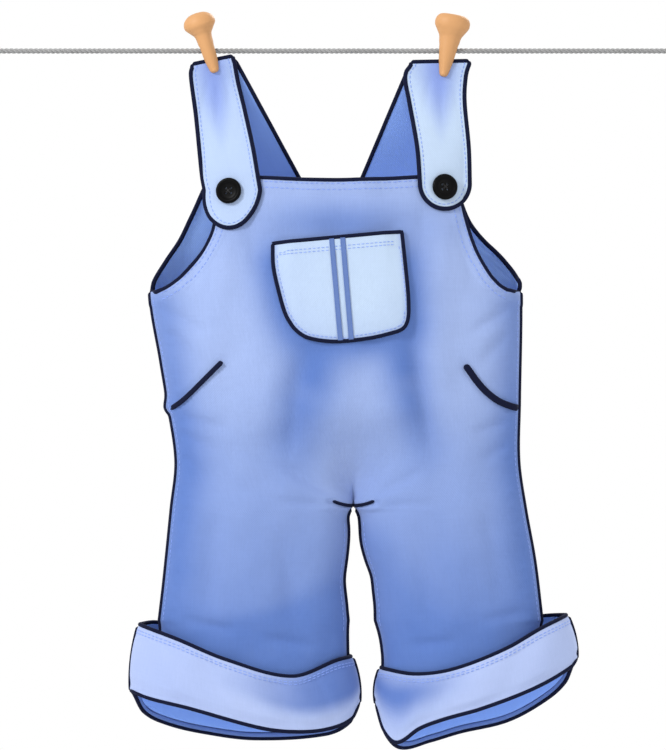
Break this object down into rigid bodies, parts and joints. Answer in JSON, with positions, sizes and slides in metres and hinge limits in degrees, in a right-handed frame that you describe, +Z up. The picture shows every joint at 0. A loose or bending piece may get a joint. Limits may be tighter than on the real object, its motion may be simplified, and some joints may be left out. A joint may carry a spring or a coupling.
{
  "type": "bib overalls pegged on a clothesline",
  "caption": "Small children's blue bib overalls with button straps, a bib pocket and turned-up cuffs, hung by the straps from a taut clothesline with wooden pegs.",
  "frame": {"origin": "on the axis of the clothesline, at the middle of the garment", "axes": "+Z up; the garment's front faces -Y; the clothesline runs along X, and +X is the wearer's left"},
  "size_m": [0.5606, 0.0834, 0.5528],
  "materials": {
    "blue_cloth": "cotton twill, soft and matt",
    "pale_cloth": "pale blue cotton twill, soft and matt",
    "cuff_cloth": "paler wrong side of the blue twill, matt",
    "stripe_cloth": "narrow woven tape, matt",
    "button": "polished black resin",
    "peg_wood": "turned, sanded, bare wood",
    "rope": "grey laid cord, matt"
  },
  "bodies": {
    "root": {"front_panel": "blue_cloth", "back_panel": "blue_cloth", "bib_pocket": "pale_cloth", "pocket_tape_left": "stripe_cloth", "pocket_tape_right": "stripe_cloth", "side_welt_left": "blue_cloth", "side_welt_right": "blue_cloth", "strap_left": "pale_cloth", "strap_right": "pale_cloth", "cuff_left": "cuff_cloth", "cuff_right": "cuff_cloth", "button_left": "button", "button_right": "button", "peg_left": "peg_wood", "peg_right": "peg_wood", "line_knot_left": "rope", "line_knot_right": "rope", "clothesline": "rope"}
  },
  "joints": []
}
